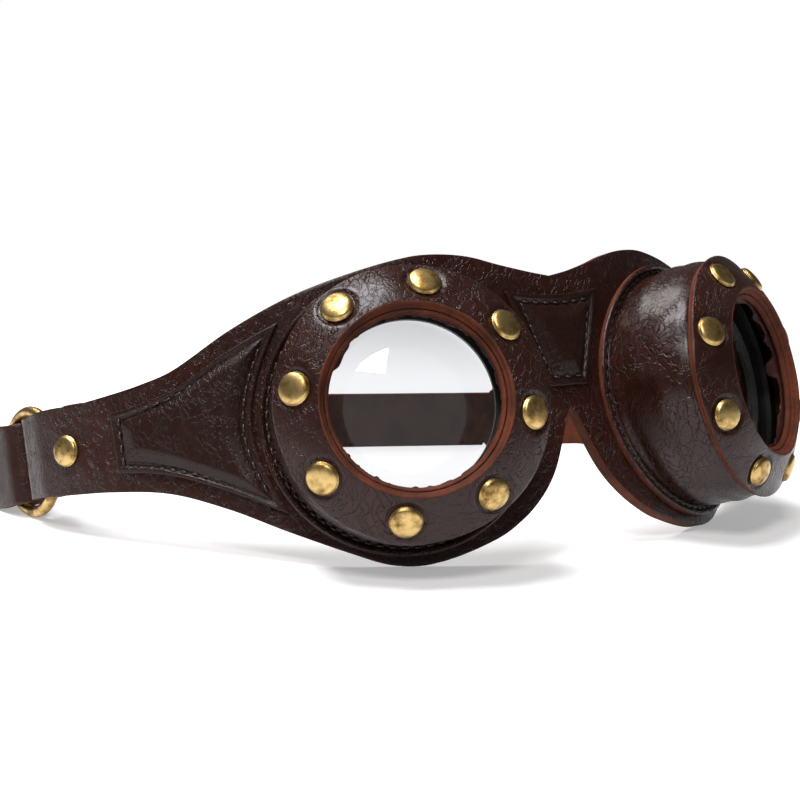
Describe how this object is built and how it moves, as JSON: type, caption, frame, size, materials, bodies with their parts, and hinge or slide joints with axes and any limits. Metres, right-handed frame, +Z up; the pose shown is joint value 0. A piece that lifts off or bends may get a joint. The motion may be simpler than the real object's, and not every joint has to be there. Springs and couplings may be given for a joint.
{
  "type": "riveted leather goggles",
  "caption": "Steampunk goggles: curved leather mask with two deep riveted eye cups, lenses, and a buckled strap on two O-rings.",
  "frame": {"origin": "on the table under the middle of the bounding box, with the goggles lying as in the picture", "axes": "+X to the wearer's left, +Y from the face of the goggles back towards the strap, +Z up from the table; the eye cups look along -Y, turned out and tilted up"},
  "size_m": [0.213, 0.1666, 0.0706],
  "materials": {
    "front_leather": "glossy dark brown with a fine crackle",
    "lining_leather": "matt natural brown, flesh side",
    "patch_leather": "padded, glossy dark brown",
    "cup_leather": "moulded, glossy dark brown",
    "rim_leather": "glossy dark brown with raw edges",
    "strap_leather": "waxed dark brown",
    "rivet_brass": "antique, worn bright on the domes",
    "ring_brass": "antique, satin",
    "buckle_brass": "antique, satin",
    "holder_black": "matt black",
    "lens_clear": "clear, slightly grey"
  },
  "bodies": {
    "front": {"mask": "front_leather", "mask_lining": "lining_leather", "nose_patch": "patch_leather", "temple_patch_right": "patch_leather", "temple_patch_left": "patch_leather", "cup_right": "cup_leather", "cup_left": "cup_leather", "eye_rim_right": "rim_leather", "eye_rim_left": "rim_leather", "eye_rivets_right": "rivet_brass", "eye_rivets_left": "rivet_brass", "lens_holder_right": "holder_black", "lens_holder_left": "holder_black", "lens_right": "lens_clear", "lens_left": "lens_clear", "lens_retainer_right": "holder_black", "lens_retainer_left": "holder_black", "wing_rivet_right": "rivet_brass", "wing_rivet_left": "rivet_brass"},
    "ring_right": {"ring_right": "ring_brass"},
    "ring_left": {"ring_left": "ring_brass"},
    "strap": {"long_strap": "strap_leather", "buckle_strap": "strap_leather", "strap_rivet_right": "rivet_brass", "strap_rivet_left": "rivet_brass", "buckle_frame": "buckle_brass", "buckle_prong": "buckle_brass"},
    "keeper": {"strap_keeper": "strap_leather"}
  },
  "joints": [
    {"name": "ring_right_turn", "type": "hinge", "parent": "front", "child": "ring_right", "pos_m": [-0.10057, 0.02697, 0.01399], "axis": [-0.9945, -0.0986, 0.0347], "continuous": true},
    {"name": "ring_left_turn", "type": "hinge", "parent": "front", "child": "ring_left", "pos_m": [0.09906, 0.02615, 0.01398], "axis": [0.9848, 0.1638, -0.0577], "continuous": true},
    {"name": "strap_tilt", "type": "hinge", "parent": "front", "child": "strap", "pos_m": [-0.00075, 0.02656, 0.01399], "axis": [1, -0.0041, -0.0001], "range_deg": [-10, 10]},
    {"name": "keeper_slide", "type": "slide", "parent": "strap", "child": "keeper", "axis": [-0.9205, -0.3907, 0], "range_m": [-0.0025, 0.01]}
  ]
}
